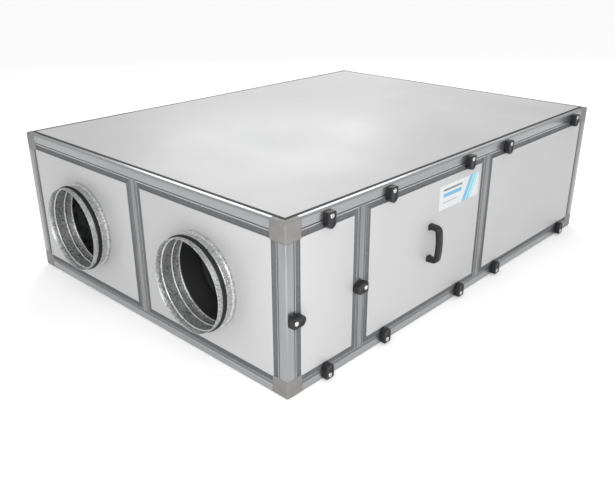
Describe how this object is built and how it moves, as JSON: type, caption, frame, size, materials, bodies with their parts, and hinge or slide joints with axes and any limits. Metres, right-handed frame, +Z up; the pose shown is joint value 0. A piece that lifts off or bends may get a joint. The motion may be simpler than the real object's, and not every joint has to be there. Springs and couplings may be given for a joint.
{
  "type": "heat recovery unit",
  "caption": "Flat ducted heat recovery ventilation unit: insulated panels in an aluminium profile frame, clamped service covers, round duct spigots, exchanger, fans and filters inside.",
  "frame": {"origin": "centre of the casing's footprint, on the plane its underside rests on", "axes": "+X along the casing to the right-hand duct end, -Y out of the service side, +Z up"},
  "size_m": [1.629, 1.1753, 0.4545],
  "materials": {
    "frame_aluminium": "mill-finish extruded aluminium, faint draw lines",
    "corner_plastic": "moulded grey plastic",
    "panel_coat": "off-white coil-coated sheet, satin",
    "galvanised_steel": "galvanised sheet with spangle",
    "clamp_plastic": "black glass-filled nylon",
    "damper_paint": "dark coated sheet",
    "exchanger_foil": "bare aluminium plates",
    "filter_media": "pleated synthetic media",
    "impeller_plastic": "dark moulded composite",
    "box_paint": "light grey powder coat",
    "seal_rubber": "black EPDM",
    "gasket_grey": "dark grey ribbed edge profile",
    "screw_steel": "zinc-plated steel",
    "label_film": "printed film, no lettering"
  },
  "bodies": {
    "casing": {"corner_bottom_left_front": "corner_plastic", "corner_top_left_front": "corner_plastic", "corner_bottom_left_back": "corner_plastic", "corner_top_left_back": "corner_plastic", "corner_bottom_right_front": "corner_plastic", "corner_top_right_front": "corner_plastic", "corner_bottom_right_back": "corner_plastic", "corner_top_right_back": "corner_plastic", "post_left_front": "frame_aluminium", "post_left_back": "frame_aluminium", "post_right_front": "frame_aluminium", "post_right_back": "frame_aluminium", "rail_bottom_front": "frame_aluminium", "rail_bottom_back": "frame_aluminium", "rail_bottom_left": "frame_aluminium", "rail_bottom_right": "frame_aluminium", "rail_top_front": "frame_aluminium", "rail_top_back": "frame_aluminium", "rail_top_left": "frame_aluminium", "rail_top_right": "frame_aluminium", "mid_post_front_1": "frame_aluminium", "mid_post_front_2": "frame_aluminium", "mid_post_left": "frame_aluminium", "top_panel": "panel_coat", "bottom_panel": "panel_coat", "back_panel": "panel_coat", "end_panel_left_front": "panel_coat", "end_panel_left_back": "panel_coat", "end_panel_right": "panel_coat", "spigot_outdoor_air": "galvanised_steel", "spigot_exhaust_air": "galvanised_steel", "spigot_extract_air": "galvanised_steel", "spigot_supply_air": "galvanised_steel", "heat_exchanger": "exchanger_foil", "drain_pan": "galvanised_steel", "supply_fan_frame": "galvanised_steel", "exhaust_fan_frame": "galvanised_steel", "electric_heater": "galvanised_steel", "control_box": "box_paint"},
    "cover_1": {"service_panel_1": "panel_coat"},
    "cover_2": {"service_panel_2": "panel_coat", "panel_handle": "clamp_plastic"},
    "cover_3": {"service_panel_3": "panel_coat"},
    "damper": {"damper_blade": "damper_paint"},
    "exhaust_fan": {"exhaust_fan_impeller": "impeller_plastic"},
    "supply_fan": {"supply_fan_impeller": "impeller_plastic"},
    "outdoor_filter": {"outdoor_air_filter": "filter_media"},
    "extract_filter": {"extract_air_filter": "filter_media"},
    "clamp_panel_1_top_body": {"clamp_panel_1_top": "clamp_plastic"},
    "clamp_panel_1_bottom_body": {"clamp_panel_1_bottom": "clamp_plastic"},
    "clamp_panel_2_left_top_body": {"clamp_panel_2_left_top": "clamp_plastic"},
    "clamp_panel_2_left_bottom_body": {"clamp_panel_2_left_bottom": "clamp_plastic"},
    "clamp_panel_2_right_top_body": {"clamp_panel_2_right_top": "clamp_plastic"},
    "clamp_panel_2_right_bottom_body": {"clamp_panel_2_right_bottom": "clamp_plastic"},
    "clamp_panel_3_left_top_body": {"clamp_panel_3_left_top": "clamp_plastic"},
    "clamp_panel_3_left_bottom_body": {"clamp_panel_3_left_bottom": "clamp_plastic"},
    "clamp_panel_3_right_top_body": {"clamp_panel_3_right_top": "clamp_plastic"},
    "clamp_panel_3_right_bottom_body": {"clamp_panel_3_right_bottom": "clamp_plastic"},
    "clamp_panel_1_side_left_body": {"clamp_panel_1_side_left": "clamp_plastic"},
    "clamp_panel_1_side_right_body": {"clamp_panel_1_side_right": "clamp_plastic"}
  },
  "joints": [
    {"name": "cover_1_lift", "type": "slide", "parent": "casing", "child": "cover_1", "axis": [0, -1, 0], "range_m": [0, 0.3]},
    {"name": "cover_2_lift", "type": "slide", "parent": "casing", "child": "cover_2", "axis": [0, -1, 0], "range_m": [0, 0.6]},
    {"name": "cover_3_lift", "type": "slide", "parent": "casing", "child": "cover_3", "axis": [0, -1, 0], "range_m": [0, 0.6]},
    {"name": "damper_turn", "type": "hinge", "parent": "casing", "child": "damper", "pos_m": [-0.672, -0.27, 0.218], "axis": [0, 0, 1], "range_deg": [0, 90]},
    {"name": "exhaust_fan_spin", "type": "hinge", "parent": "casing", "child": "exhaust_fan", "pos_m": [-0.46, 0.27, 0.225], "axis": [-1, 0, 0], "continuous": true},
    {"name": "supply_fan_spin", "type": "hinge", "parent": "casing", "child": "supply_fan", "pos_m": [0.46, 0.27, 0.225], "axis": [1, 0, 0], "continuous": true},
    {"name": "extract_filter_draw", "type": "slide", "parent": "casing", "child": "extract_filter", "axis": [0, -1, 0], "range_m": [0, 0.54]},
    {"name": "outdoor_filter_draw", "type": "slide", "parent": "casing", "child": "outdoor_filter", "axis": [0, -1, 0], "range_m": [0, 0.54]},
    {"name": "swivel_clamp_panel_1_top", "type": "hinge", "parent": "cover_1", "child": "clamp_panel_1_top_body", "pos_m": [-0.63, -0.5675, 0.4345], "axis": [0, 1, 0], "range_deg": [0, 90]},
    {"name": "swivel_clamp_panel_1_bottom", "type": "hinge", "parent": "cover_1", "child": "clamp_panel_1_bottom_body", "pos_m": [-0.63, -0.5675, 0.0155], "axis": [0, 1, 0], "range_deg": [0, 90]},
    {"name": "swivel_clamp_panel_2_left_top", "type": "hinge", "parent": "cover_2", "child": "clamp_panel_2_left_top_body", "pos_m": [-0.398, -0.5675, 0.4345], "axis": [0, 1, 0], "range_deg": [0, 90]},
    {"name": "swivel_clamp_panel_2_left_bottom", "type": "hinge", "parent": "cover_2", "child": "clamp_panel_2_left_bottom_body", "pos_m": [-0.398, -0.5675, 0.0155], "axis": [0, 1, 0], "range_deg": [0, 90]},
    {"name": "swivel_clamp_panel_2_right_top", "type": "hinge", "parent": "cover_2", "child": "clamp_panel_2_right_top_body", "pos_m": [-0.031, -0.5675, 0.4345], "axis": [0, 1, 0], "range_deg": [0, 90]},
    {"name": "swivel_clamp_panel_2_right_bottom", "type": "hinge", "parent": "cover_2", "child": "clamp_panel_2_right_bottom_body", "pos_m": [-0.031, -0.5675, 0.0155], "axis": [0, 1, 0], "range_deg": [0, 90]},
    {"name": "swivel_clamp_panel_3_left_top", "type": "hinge", "parent": "cover_3", "child": "clamp_panel_3_left_top_body", "pos_m": [0.185, -0.5675, 0.4345], "axis": [0, 1, 0], "range_deg": [0, 90]},
    {"name": "swivel_clamp_panel_3_left_bottom", "type": "hinge", "parent": "cover_3", "child": "clamp_panel_3_left_bottom_body", "pos_m": [0.185, -0.5675, 0.0155], "axis": [0, 1, 0], "range_deg": [0, 90]},
    {"name": "swivel_clamp_panel_3_right_top", "type": "hinge", "parent": "cover_3", "child": "clamp_panel_3_right_top_body", "pos_m": [0.647, -0.5675, 0.4345], "axis": [0, 1, 0], "range_deg": [0, 90]},
    {"name": "swivel_clamp_panel_3_right_bottom", "type": "hinge", "parent": "cover_3", "child": "clamp_panel_3_right_bottom_body", "pos_m": [0.647, -0.5675, 0.0155], "axis": [0, 1, 0], "range_deg": [0, 90]},
    {"name": "swivel_clamp_panel_1_side_left", "type": "hinge", "parent": "cover_1", "child": "clamp_panel_1_side_left_body", "pos_m": [-0.747, -0.5675, 0.208], "axis": [0, 1, 0], "range_deg": [0, 90]},
    {"name": "swivel_clamp_panel_1_side_right", "type": "hinge", "parent": "cover_1", "child": "clamp_panel_1_side_right_body", "pos_m": [-0.4995, -0.5675, 0.208], "axis": [0, 1, 0], "range_deg": [0, 90]}
  ],
  "couplings": [
    {"joint": "extract_filter_draw", "follows": "cover_3_lift", "ratio": 0.9},
    {"joint": "outdoor_filter_draw", "follows": "cover_2_lift", "ratio": 0.9}
  ]
}
